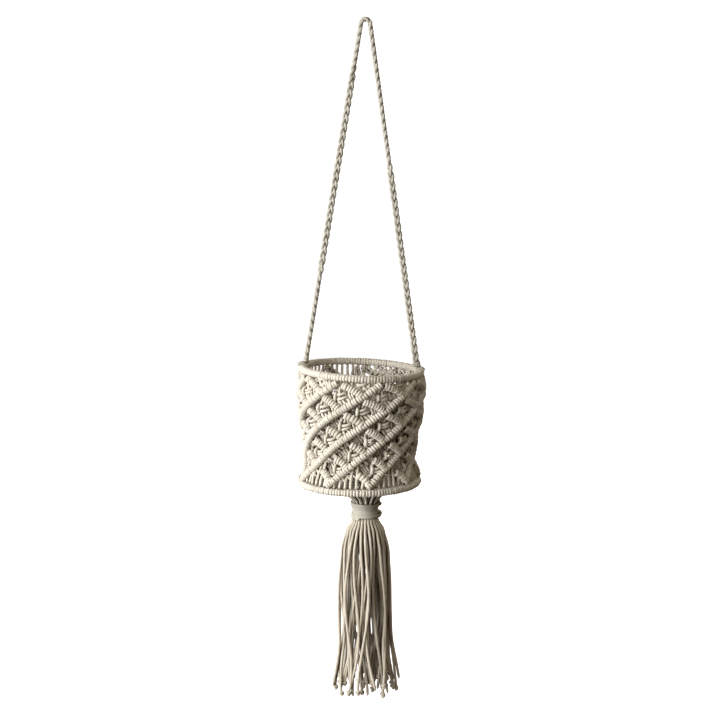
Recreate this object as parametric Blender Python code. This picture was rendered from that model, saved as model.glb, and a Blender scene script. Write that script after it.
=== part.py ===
"""Hanging macrame planter of cotton cord.

A plaited strap hangs over a hook and carries a wrapped top ring at its two ends. A knotted net with
nine spiral ridges joins that ring to a bottom ring. Base cords run in under the pot, are gathered
in a wrapped neck and hang down as a tassel.

Metres, +Z up. The origin is the inside of the strap's top bend, where the hook bears. Angles round
the planter start at the front (-Y) and grow towards +X.
"""
import math

import bmesh
import bpy
from mathutils import Vector

MM = 0.001
GAP = 0.4 * MM

# Cord and strap
CORD_RADIUS = 2.0 * MM
STRAP_WIDTH = 9.5 * MM
STRAP_THICKNESS = 5.0 * MM
BEND_RADIUS = 6.0 * MM
BEND_END_Z = -12.0 * MM
LEG_START_GAP = 1.5 * MM
LEG_STATIONS = 14
# How far down each leg (0 to 1) the flat plait has turned to which angle: 0 faces the front
LEFT_TURNS = [(0.0, 90.0), (0.10, 90.0), (0.19, 0.0), (0.67, 0.0), (0.76, -90.0), (1.0, -90.0)]
RIGHT_TURNS = [(0.0, 90.0), (0.38, 90.0), (0.46, 0.0), (1.0, 0.0)]

# Rings
RING_RADIUS = 80.5 * MM
WIRE_RADIUS = 1.5 * MM
WRAP_RADIUS = 5.0 * MM
WRAP_INNER_RADIUS = 2.2 * MM
WRAP_SLIT_HALF_ANGLE = 22.0
TOP_RING_Z = -462.5 * MM
BOTTOM_RING_Z = -615.0 * MM
RING_STEPS = 36

# The basket hangs a little off the hook's line, and its mouth leans down to the right
TOP_SHIFT = -5.5 * MM
BOTTOM_SHIFT = -8.5 * MM
MOUTH_LEAN = math.tan(math.radians(2.6))

# Ties that hitch the strap to the top ring
TIE_THICKNESS = 4.2 * MM
TIE_START = -10.0
TIE_END = 200.0
TIE_STEPS = 12
LEG_END_ABOVE_RING = 12.5 * MM
LEG_END_INSIDE_RING = 5.0 * MM

# Net
REPEATS = 9
WALL_THICKNESS = 4.0 * MM
# Middle of the net's wall: height up from the bottom ring (0) to the top ring (1), and radius
WALL_STATIONS = [
    (0.0, 80.5 * MM),
    (0.08, 77.0 * MM),
    (0.19, 71.5 * MM),
    (0.34, 72.5 * MM),
    (0.52, 77.5 * MM),
    (0.80, 82.0 * MM),
    (1.0, 80.5 * MM),
]
PANEL_ROWS = 12
PANEL_STEPS = 6
RIDGE_RADIUS = 2.6 * MM
RIDGE_STANDOFF = 0.8 * MM
RIDGE_STATIONS = 28
# Angle at which the first ridge would meet the top ring; the others follow at even steps
RIDGE_FIRST = 25.0
# Turn of a ridge from the bottom ring to the top one, and how far it hangs back halfway up
RIDGE_TURN = 143.0
RIDGE_BOW = 4.0

# Base: a web of cords under the pot, with a level band where the pot's foot rests
WEB_OUTER_RADIUS = 75.0 * MM
WEB_INNER_RADIUS = 25.0 * MM
SEAT_OUTER_RADIUS = 60.0 * MM
SEAT_INNER_RADIUS = 50.0 * MM
WEB_OUTER_Z = -616.5 * MM
SEAT_Z = -622.0 * MM
WEB_INNER_Z = -631.0 * MM
WEB_THICKNESS = 3.0 * MM
SHIFT_FADE_RADIUS = 20.0 * MM

# Neck
NECK_HINGE_Z = -640.0 * MM
THROAT_RADIUS = 14.0 * MM
THROAT_TOP_Z = -636.0 * MM
NECK_TOP_Z = -645.0 * MM
NECK_BOTTOM_Z = -668.0 * MM
NECK_TURN_RADII = [20.6 * MM, 19.4 * MM, 18.2 * MM, 18.6 * MM, 19.8 * MM]
NECK_STEPS = 32

# Tassel
TASSEL_HINGE_Z = -669.0 * MM
CORE_STATIONS = [
    (-671.0 * MM, 1.5 * MM),
    (-680.0 * MM, 14.0 * MM),
    (-692.0 * MM, 23.0 * MM),
    (-715.0 * MM, 28.0 * MM),
    (-830.0 * MM, 31.0 * MM),
    (-885.0 * MM, 36.5 * MM),
    (-890.0 * MM, 32.0 * MM),
]
CORE_STEPS = 24
OUTER_CORDS = 27
CORDS_BETWEEN = 3
# Route of an outer tassel cord, from the neck to its end: height and distance from the middle
TASSEL_ROUTE = [
    (-684.0 * MM, 24.5 * MM),
    (-707.0 * MM, 31.5 * MM),
    (-732.0 * MM, 34.0 * MM),
    (-758.0 * MM, 36.0 * MM),
    (-810.0 * MM, 37.0 * MM),
    (-845.0 * MM, 38.0 * MM),
    (-880.0 * MM, 43.0 * MM),
    (-908.0 * MM, 47.5 * MM),
]
TASSEL_CORD_POINTS = 24
# A cord sways round the tassel by this many degrees, and in and out by this distance
TASSEL_SWAY = 13.0
TASSEL_WOBBLE = 1.5 * MM
TASSEL_END_SPREAD = 9.0 * MM


def clear_scene():
    """Remove every object that is already in the scene."""
    for item in list(bpy.data.objects):
        bpy.data.objects.remove(item, do_unlink=True)


def make_material(name, colour, roughness, metallic=0.0):
    """A plain Principled material."""
    made = bpy.data.materials.new(name)
    made.use_nodes = True
    shader = made.node_tree.nodes["Principled BSDF"]
    shader.inputs["Base Color"].default_value = (*colour, 1.0)
    shader.inputs["Roughness"].default_value = roughness
    shader.inputs["Metallic"].default_value = metallic
    return made


def make_joint_empty(name, location, parent=None):
    """An empty on a joint's axis, which carries the pieces that turn about it."""
    empty = bpy.data.objects.new(name, None)
    bpy.context.collection.objects.link(empty)
    empty.empty_display_size = 0.02
    empty.location = location
    if parent:
        empty.parent = parent
        empty.location = location - parent.matrix_world.translation
    bpy.context.view_layer.update()
    return empty


def add_piece(name, mesh, carrier, material):
    """Put a mesh that is drawn in world coordinates under its body's empty."""
    mesh.transform(carrier.matrix_world.inverted())
    mesh.materials.append(material)
    piece = bpy.data.objects.new(name, mesh)
    bpy.context.collection.objects.link(piece)
    piece.parent = carrier
    return piece


def finish_mesh(name, bm):
    """Turn a bmesh of one closed body into a smooth-shaded mesh with its faces pointing out."""
    bmesh.ops.remove_doubles(bm, verts=bm.verts, dist=1e-6)
    bmesh.ops.recalc_face_normals(bm, faces=bm.faces)
    mesh = bpy.data.meshes.new(name)
    bm.to_mesh(mesh)
    bm.free()
    mesh.shade_smooth()
    mesh.set_sharp_from_angle(angle=math.radians(40))
    return mesh


def interpolate(stations, where):
    """Smooth value at a place along (place, value) stations, level at each station's own slope."""
    places = [place for place, _ in stations]
    values = [value for _, value in stations]
    rising = places[-1] > places[0]
    last = len(stations) - 2
    step = 0
    while step < last and (where > places[step + 1]) == rising:
        step += 1
    slopes = []
    for end in (step, step + 1):
        before = max(end - 1, 0)
        after = min(end + 1, len(stations) - 1)
        slopes.append((values[after] - values[before]) / (places[after] - places[before]))
    span = places[step + 1] - places[step]
    part = min(max((where - places[step]) / span, 0.0), 1.0)
    square = part * part
    cube = square * part
    return (
        (2 * cube - 3 * square + 1) * values[step]
        + (cube - 2 * square + part) * span * slopes[0]
        + (3 * square - 2 * cube) * values[step + 1]
        + (cube - square) * span * slopes[1]
    )


def turned(stations, where):
    """Angle at a place along (place, angle) stations, eased between them."""
    for (start, first), (end, second) in zip(stations, stations[1:]):
        if where <= end:
            part = (where - start) / (end - start)
            return first + (second - first) * (3 - 2 * part) * part * part
    return stations[-1][1]


def round_point(radius, degrees, height):
    """Point at a distance from the Z axis, at an angle that starts at the front."""
    angle = math.radians(degrees)
    return Vector((radius * math.sin(angle), -radius * math.cos(angle), height))


def settle(point):
    """Move a point of the upright basket to where the hanging basket has it."""
    up = (point.z - BOTTOM_RING_Z) / (TOP_RING_Z - BOTTOM_RING_Z)
    up = min(max(up, 0.0), 1.0)
    radius = math.hypot(point.x, point.y)
    reach = (radius - SHIFT_FADE_RADIUS) / (WEB_OUTER_RADIUS - SHIFT_FADE_RADIUS)
    reach = min(max(reach, 0.0), 1.0)
    shift = BOTTOM_SHIFT * reach + (TOP_SHIFT - BOTTOM_SHIFT) * up
    return Vector((point.x + shift, point.y, point.z - MOUTH_LEAN * point.x * up))


def wall_radius(height):
    """Radius of the middle of the net's wall at a height."""
    up = (height - BOTTOM_RING_Z) / (TOP_RING_Z - BOTTOM_RING_Z)
    return interpolate(WALL_STATIONS, up)


def spin_solid(name, profile, steps, move=None):
    """Turn a closed (radius, height) outline, or one that starts and ends on the axis, round Z."""
    on_axis = profile[0][0] == 0.0
    bm = bmesh.new()
    corners = [bm.verts.new((radius, 0.0, height)) for radius, height in profile]
    pairs = list(zip(corners, corners[1:]))
    if not on_axis:
        pairs.append((corners[-1], corners[0]))
    edges = [bm.edges.new(pair) for pair in pairs]
    bmesh.ops.spin(
        bm,
        geom=corners + edges,
        cent=(0, 0, 0),
        axis=(0, 0, 1),
        angle=math.tau,
        steps=steps,
        use_merge=True,
    )
    if move:
        bmesh.ops.remove_doubles(bm, verts=bm.verts, dist=1e-6)
        for corner in bm.verts:
            corner.co = move(corner.co)
    return finish_mesh(name, bm)


def sweep_solid(name, centres, sides_of):
    """Skin rings of points along a path and cap both ends. sides_of gives the ring at a station."""
    bm = bmesh.new()
    rings = []
    for station, centre in enumerate(centres):
        rings.append([bm.verts.new(centre + offset) for offset in sides_of(station)])
    count = len(rings[0])
    for lower, upper in zip(rings, rings[1:]):
        for side in range(count):
            after = (side + 1) % count
            bm.faces.new((lower[side], lower[after], upper[after], upper[side]))
    bm.faces.new(list(reversed(rings[0])))
    bm.faces.new(rings[-1])
    return finish_mesh(name, bm)


def oval(across, along, width, thickness, sides=10):
    """Offsets of an oval section whose width lies along one direction and thickness the other."""
    ring = []
    for side in range(sides):
        angle = math.tau * side / sides
        flat = across * (0.5 * width * math.cos(angle))
        ring.append(flat + along * (0.5 * thickness * math.sin(angle)))
    return ring


def add_cord(name, points, radius, carrier, material, resolution=2):
    """A round cord through points, as a bevelled curve with filled caps."""
    curve = bpy.data.curves.new(name, "CURVE")
    curve.dimensions = "3D"
    curve.bevel_depth = radius
    curve.bevel_resolution = resolution
    curve.use_fill_caps = True
    spline = curve.splines.new("POLY")
    spline.points.add(len(points) - 1)
    origin = carrier.matrix_world.translation
    for slot, point in zip(spline.points, points):
        slot.co = (*(point - origin), 1.0)
    curve.materials.append(material)
    cord = bpy.data.objects.new(name, curve)
    bpy.context.collection.objects.link(cord)
    cord.parent = carrier
    return cord


def leg_ends(side):
    """Where a leg of the strap starts under the bend and ends above the ring. side is -1 or 1."""
    foot = settle(Vector((side * (RING_RADIUS - LEG_END_INSIDE_RING), 0.0, TOP_RING_Z)))
    foot.z += LEG_END_ABOVE_RING
    centre = Vector((0.0, 0.0, -BEND_RADIUS + 0.5 * STRAP_THICKNESS))
    lean = math.atan2(abs(foot.x) - BEND_RADIUS, centre.z - foot.z)
    shoulder = centre + Vector((side * math.cos(lean), 0.0, math.sin(lean))) * BEND_RADIUS
    return shoulder, foot, lean


def point_at_height(start, end, height):
    """Point of a straight leg at a height."""
    return start.lerp(end, (start.z - height) / (start.z - end.z))


def build_strap_bend(carrier, material):
    """The plait's middle, folded over the hook with its flat side on it."""
    shoulder_left, foot_left, lean_left = leg_ends(-1)
    shoulder_right, foot_right, lean_right = leg_ends(1)
    centre = Vector((0.0, 0.0, -BEND_RADIUS + 0.5 * STRAP_THICKNESS))
    centres = [point_at_height(shoulder_left, foot_left, BEND_END_Z)]
    outward = [Vector((-math.cos(lean_left), 0.0, math.sin(lean_left)))]
    first = math.pi - lean_left
    last = lean_right
    steps = 12
    for step in range(steps + 1):
        angle = first + (last - first) * step / steps
        out = Vector((math.cos(angle), 0.0, math.sin(angle)))
        centres.append(centre + out * BEND_RADIUS)
        outward.append(out)
    centres.append(point_at_height(shoulder_right, foot_right, BEND_END_Z))
    outward.append(Vector((math.cos(lean_right), 0.0, math.sin(lean_right))))
    depth = Vector((0.0, 1.0, 0.0))
    mesh = sweep_solid(
        "strap_top_bend",
        centres,
        lambda station: oval(depth, outward[station], STRAP_WIDTH, STRAP_THICKNESS),
    )
    add_piece("strap_top_bend", mesh, carrier, material)


def build_strap_leg(name, side, turns, carrier, material):
    """One leg of the plait, which turns from edge-on to flat-on on its way down."""
    shoulder, foot, _ = leg_ends(side)
    start = point_at_height(shoulder, foot, BEND_END_Z - LEG_START_GAP)
    run = (foot - start).normalized()
    depth = Vector((0.0, 1.0, 0.0))
    flat = depth.cross(run)
    centres = []
    sections = []
    for station in range(LEG_STATIONS + 1):
        down = station / LEG_STATIONS
        centres.append(start.lerp(foot, down))
        angle = math.radians(turned(turns, down))
        across = flat * math.cos(angle) + depth * math.sin(angle)
        through = depth * math.cos(angle) - flat * math.sin(angle)
        sections.append(oval(across, through, STRAP_WIDTH, STRAP_THICKNESS))
    mesh = sweep_solid(name, centres, lambda station: sections[station])
    add_piece(name, mesh, carrier, material)


def build_strap_tie(name, side, carrier, material):
    """The hitch that holds the strap's end to the top ring: an open band over the wrapped ring."""
    ring = settle(Vector((side * RING_RADIUS, 0.0, TOP_RING_Z)))
    reach = WRAP_RADIUS + GAP + 0.5 * TIE_THICKNESS
    depth = Vector((0.0, 1.0, 0.0))
    centres = []
    outward = []
    for step in range(TIE_STEPS + 1):
        angle = math.radians(TIE_START + (TIE_END - TIE_START) * step / TIE_STEPS)
        out = Vector((side * math.cos(angle), 0.0, math.sin(angle)))
        centres.append(ring + out * reach)
        outward.append(out)
    mesh = sweep_solid(
        name,
        centres,
        lambda station: oval(depth, outward[station], STRAP_WIDTH, TIE_THICKNESS, sides=8),
    )
    add_piece(name, mesh, carrier, material)


def circle_profile(radius, sides, first=0.0, last=360.0):
    """Points of an arc round the ring's own centre line, as (distance out, height) offsets."""
    steps = sides if last - first >= 360.0 else sides - 1
    points = []
    for side in range(sides):
        angle = math.radians(first + (last - first) * side / steps)
        points.append((radius * math.cos(angle), radius * math.sin(angle)))
    return points


def build_ring(prefix, height, slit_at, carrier, wire, cotton):
    """A stiff wire ring and the split sleeve of hitches round it."""
    core = [(RING_RADIUS + out, height + up) for out, up in circle_profile(WIRE_RADIUS, 5)]
    add_piece(prefix, spin_solid(prefix, core, RING_STEPS, settle), carrier, wire)
    first = slit_at + WRAP_SLIT_HALF_ANGLE
    last = slit_at + 360.0 - WRAP_SLIT_HALF_ANGLE
    sleeve = circle_profile(WRAP_RADIUS, 9, first, last)
    sleeve += reversed(circle_profile(WRAP_INNER_RADIUS, 6, first, last))
    outline = [(RING_RADIUS + out, height + up) for out, up in sleeve]
    name = f"{prefix}_wrap"
    add_piece(name, spin_solid(name, outline, RING_STEPS, settle), carrier, cotton)


def build_panel(number, carrier, material):
    """One repeat of the net: a curved panel between the two rings."""
    name = f"net_panel_{number + 1}"
    half = 0.5 * WALL_THICKNESS
    low = BOTTOM_RING_Z + WRAP_RADIUS + GAP
    high = TOP_RING_Z - WRAP_RADIUS - GAP
    heights = [low + (high - low) * row / PANEL_ROWS for row in range(PANEL_ROWS + 1)]
    outline = [(wall_radius(height) + half, height) for height in heights]
    outline += [(wall_radius(height) - half, height) for height in reversed(heights)]
    span = 360.0 / REPEATS - math.degrees(GAP / RING_RADIUS)
    start = number * 360.0 / REPEATS
    bm = bmesh.new()
    rings = []
    for step in range(PANEL_STEPS + 1):
        degrees = start + span * step / PANEL_STEPS
        points = [settle(round_point(radius, degrees, height)) for radius, height in outline]
        rings.append([bm.verts.new(point) for point in points])
    count = len(outline)
    for near, far in zip(rings, rings[1:]):
        for side in range(count):
            after = (side + 1) % count
            bm.faces.new((near[side], near[after], far[after], far[side]))
    for ring in (rings[0], rings[-1]):
        for row in range(PANEL_ROWS):
            bm.faces.new((ring[row], ring[row + 1], ring[count - 2 - row], ring[count - 1 - row]))
    add_piece(name, finish_mesh(name, bm), carrier, material)


def build_ridge(number, carrier, material):
    """One spiral ridge of hitches on the net, rising towards +X at the front."""
    half = 0.5 * WALL_THICKNESS
    margin = WRAP_RADIUS + RIDGE_RADIUS + GAP
    low = BOTTOM_RING_Z + margin
    high = TOP_RING_Z - margin
    points = []
    for station in range(RIDGE_STATIONS + 1):
        height = low + (high - low) * station / RIDGE_STATIONS
        up = (height - BOTTOM_RING_Z) / (TOP_RING_Z - BOTTOM_RING_Z)
        radius = wall_radius(height) + half + RIDGE_STANDOFF + RIDGE_RADIUS
        turn = RIDGE_TURN * (1.0 - up) + RIDGE_BOW * math.sin(math.pi * up)
        angle = RIDGE_FIRST + number * 360.0 / REPEATS - turn
        point = round_point(radius, angle, height)
        points.append(settle(point))
    add_cord(f"ridge_{number + 1}", points, RIDGE_RADIUS, carrier, material)


def build_base_web(carrier, material):
    """The base cords under the pot, with the level band that takes the pot's foot."""
    top = [
        (WEB_OUTER_RADIUS, WEB_OUTER_Z),
        (SEAT_OUTER_RADIUS, SEAT_Z),
        (SEAT_INNER_RADIUS, SEAT_Z),
        (WEB_INNER_RADIUS, WEB_INNER_Z),
    ]
    under = [(radius, height - WEB_THICKNESS) for radius, height in reversed(top)]
    add_piece("base_web", spin_solid("base_web", top + under, RING_STEPS, settle), carrier, material)


def build_neck(carrier, material):
    """The gathered bundle of base cords and the turns of cord wrapped round it."""
    bundle = [
        (0.0, THROAT_TOP_Z),
        (THROAT_RADIUS - 3 * MM, THROAT_TOP_Z),
        (THROAT_RADIUS, THROAT_TOP_Z - 3 * MM),
        (THROAT_RADIUS, NECK_BOTTOM_Z),
        (0.0, NECK_BOTTOM_Z),
    ]
    mesh = spin_solid("throat_cords", bundle, CORE_STEPS)
    add_piece("throat_cords", mesh, carrier, material)
    turns = len(NECK_TURN_RADII)
    pitch = (NECK_TOP_Z - NECK_BOTTOM_Z) / turns
    wrapping = []
    for turn, radius in enumerate(NECK_TURN_RADII):
        middle = NECK_TOP_Z - (turn + 0.5) * pitch
        wrapping.append((radius - 1.2 * MM, middle + 0.45 * pitch))
        wrapping.append((radius, middle))
    wrapping.append((NECK_TURN_RADII[-1] - 1.2 * MM, NECK_BOTTOM_Z))
    wrapping.append((THROAT_RADIUS + GAP, NECK_BOTTOM_Z))
    wrapping.append((THROAT_RADIUS + GAP, NECK_TOP_Z - 0.05 * pitch))
    mesh = spin_solid("neck_wrapping", wrapping, NECK_STEPS)
    add_piece("neck_wrapping", mesh, carrier, material)


def tassel_cord_points(number):
    """Route of one outer tassel cord: down the hand-chosen profile, with its own slow sway."""
    base = 360.0 * number / OUTER_CORDS
    top, bottom = TASSEL_ROUTE[0][0], TASSEL_ROUTE[-1][0]
    end = bottom + TASSEL_END_SPREAD * math.sin(2.4 * number)
    points = []
    for step in range(TASSEL_CORD_POINTS + 1):
        part = step / TASSEL_CORD_POINTS
        loose = part * (2.0 - part)
        height = top + (end - top) * part
        radius = interpolate(TASSEL_ROUTE, max(height, bottom))
        radius += TASSEL_WOBBLE * math.sin(6.5 * part + 2.3 * number) * loose
        sway = TASSEL_SWAY * math.sin(5.0 * part + 1.7 * number) * loose
        points.append(round_point(radius, base + sway, height))
    return points


def build_tassel(carrier, material):
    """The tassel's inner cords as one soft core, and every third cord of its outer layer."""
    core = [(0.0, CORE_STATIONS[0][0])]
    core += [(radius, height) for height, radius in CORE_STATIONS]
    core.append((0.0, CORE_STATIONS[-1][0]))
    add_piece("tassel_core", spin_solid("tassel_core", core, CORE_STEPS), carrier, material)
    for order, number in enumerate(range(0, OUTER_CORDS, CORDS_BETWEEN)):
        name = f"tassel_cord_{order + 1:02d}"
        add_cord(name, tassel_cord_points(number), CORD_RADIUS, carrier, material)


def build_planter():
    """Build every piece under the empties of the bodies that carry them."""
    clear_scene()
    plait = make_material("plaited_cord", (0.66, 0.60, 0.50), 0.9)
    hitches = make_material("hitched_cord", (0.64, 0.57, 0.46), 0.9)
    net = make_material("net_cord", (0.60, 0.53, 0.42), 0.9)
    tassel_cord = make_material("tassel_cord", (0.62, 0.55, 0.44), 0.92)
    wire = make_material("ring_wire", (0.62, 0.60, 0.56), 0.4, 0.9)

    loop = make_joint_empty("loop_body", Vector((0.0, 0.0, 0.0)))
    strap = make_joint_empty("strap_body", Vector((0.0, 0.0, 0.0)), loop)
    mouth = settle(Vector((0.0, 0.0, TOP_RING_Z)))
    basket = make_joint_empty("basket_body", mouth, strap)
    neck = make_joint_empty("neck_body", Vector((0.0, 0.0, NECK_HINGE_Z)), basket)
    tassel = make_joint_empty("tassel_body", Vector((0.0, 0.0, TASSEL_HINGE_Z)), neck)

    build_strap_bend(loop, plait)
    build_strap_leg("strap_leg_left", -1, LEFT_TURNS, strap, plait)
    build_strap_leg("strap_leg_right", 1, RIGHT_TURNS, strap, plait)
    build_strap_tie("strap_tie_left", -1, basket, plait)
    build_strap_tie("strap_tie_right", 1, basket, plait)
    build_ring("top_ring", TOP_RING_Z, -90.0, basket, wire, hitches)
    build_ring("bottom_ring", BOTTOM_RING_Z, 90.0, basket, wire, hitches)
    for number in range(REPEATS):
        build_panel(number, basket, net)
        build_ridge(number, basket, hitches)
    build_base_web(basket, net)
    build_neck(neck, hitches)
    build_tassel(tassel, tassel_cord)


build_planter()
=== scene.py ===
"""Hanging macrame planter: the looks, built round the planter's working frame.

Every visible piece is cotton cord, so each class below lays cords: a plaited strap, hitches round two
rings, a knotted net with spiral ridges, base cords gathered in a wrapped neck, and a tassel.
"""

import logging
import math
from dataclasses import dataclass, field
from enum import Enum

import bpy
import numpy as np
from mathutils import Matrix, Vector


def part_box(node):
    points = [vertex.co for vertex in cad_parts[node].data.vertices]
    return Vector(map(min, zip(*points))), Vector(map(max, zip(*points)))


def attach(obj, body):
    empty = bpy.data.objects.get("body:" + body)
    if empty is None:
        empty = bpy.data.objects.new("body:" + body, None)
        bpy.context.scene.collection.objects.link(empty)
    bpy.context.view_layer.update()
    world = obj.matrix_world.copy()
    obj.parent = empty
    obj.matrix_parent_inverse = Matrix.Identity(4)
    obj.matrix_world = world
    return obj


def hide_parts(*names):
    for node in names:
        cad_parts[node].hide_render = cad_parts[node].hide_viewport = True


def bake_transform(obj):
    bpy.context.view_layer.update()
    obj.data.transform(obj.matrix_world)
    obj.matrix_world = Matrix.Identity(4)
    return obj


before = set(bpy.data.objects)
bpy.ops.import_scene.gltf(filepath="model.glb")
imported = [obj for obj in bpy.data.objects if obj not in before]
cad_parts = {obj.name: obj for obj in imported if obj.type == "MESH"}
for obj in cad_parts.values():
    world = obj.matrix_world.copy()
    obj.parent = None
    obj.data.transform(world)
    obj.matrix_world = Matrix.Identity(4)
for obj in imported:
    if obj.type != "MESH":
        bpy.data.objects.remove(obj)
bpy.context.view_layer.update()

MM = 0.001
TURN = math.tau
# How far a cord's end bulges, as a share of the distance between its last two sections
CAP_BULGE = 0.35

log = logging.getLogger("planter")


class Body(Enum):
    """Names of the moving bodies that pieces ride on."""

    LOOP = "loop"
    STRAP = "strap"
    BASKET = "basket"
    NECK = "neck"
    TASSEL = "tassel"


class Slot(Enum):
    """Names of the record's material slots."""

    PLAIT = "plaited_cord"
    HITCH = "hitched_cord"
    NET = "net_cord"
    TASSEL = "tassel_cord"
    WIRE = "ring_wire"


# ---------------------------------------------------------------------------------------------
# Small geometry tools
# ---------------------------------------------------------------------------------------------


def unit(vectors: np.ndarray) -> np.ndarray:
    """Scale vectors along the last axis to length one."""
    return vectors / np.maximum(np.linalg.norm(vectors, axis=-1, keepdims=True), 1e-12)


def round_points(radius: np.ndarray, turn: np.ndarray, height: np.ndarray) -> np.ndarray:
    """Place points round the vertical axis.

    Args:
        radius: Distances from the axis.
        turn: Angles in radians, from the front and growing towards +X.
        height: Heights.

    Returns:
        Points with a last axis of 3.
    """
    radius, turn, height = np.broadcast_arrays(radius, turn, height)
    return np.stack([radius * np.sin(turn), -radius * np.cos(turn), height], axis=-1)


def run_along(points: np.ndarray) -> np.ndarray:
    """Length of a line up to each of its points, which lie along the last axis but one."""
    steps = np.linalg.norm(np.diff(points, axis=-2), axis=-1)
    return np.concatenate([np.zeros_like(steps[..., :1]), np.cumsum(steps, axis=-1)], axis=-1)


def smooth_span(
    part: np.ndarray, low: np.ndarray, high: np.ndarray, low_slope: np.ndarray, high_slope: np.ndarray
) -> np.ndarray:
    """Read a smooth span from 0 to 1 between two values with known slopes."""
    square, cube = part**2, part**3
    return (
        (2 * cube - 3 * square + 1) * low
        + (cube - 2 * square + part) * low_slope
        + (3 * square - 2 * cube) * high
        + (cube - square) * high_slope
    )


def curve_through(points: np.ndarray, count: int) -> np.ndarray:
    """Lay smooth curves through control points.

    Args:
        points: Control points, shaped (cords, controls, 3).
        count: How many points each returned curve has.

    Returns:
        Points shaped (cords, count, 3), evenly spread over the controls.
    """
    before = np.concatenate([2 * points[:, :1] - points[:, 1:2], points[:, :-1]], axis=1)
    after = np.concatenate([points[:, 1:], 2 * points[:, -1:] - points[:, -2:-1]], axis=1)
    slope = 0.5 * (after - before)
    where = np.linspace(0.0, points.shape[1] - 1.0, count)
    index = np.minimum(where.astype(int), points.shape[1] - 2)
    part = (where - index)[None, :, None]
    low, high = points[:, index], points[:, index + 1]
    return smooth_span(part, low, high, slope[:, index], slope[:, index + 1])


def interpolate(stations: tuple[tuple[float, float], ...], where: np.ndarray) -> np.ndarray:
    """Read a smooth curve through (place, value) stations with rising places.

    Args:
        stations: Places and values.
        where: Places to read at, held inside the stations.

    Returns:
        The values there.
    """
    places, values = np.array(stations).T
    where = np.clip(np.asarray(where, float), places[0], places[-1])
    step = np.clip(np.searchsorted(places, where, side="right") - 1, 0, len(places) - 2)
    low = np.maximum(np.arange(len(places)) - 1, 0)
    high = np.minimum(np.arange(len(places)) + 1, len(places) - 1)
    slopes = (values[high] - values[low]) / (places[high] - places[low])
    span = places[step + 1] - places[step]
    part = (where - places[step]) / span
    low_slope, high_slope = span * slopes[step], span * slopes[step + 1]
    return smooth_span(part, values[step], values[step + 1], low_slope, high_slope)


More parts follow.
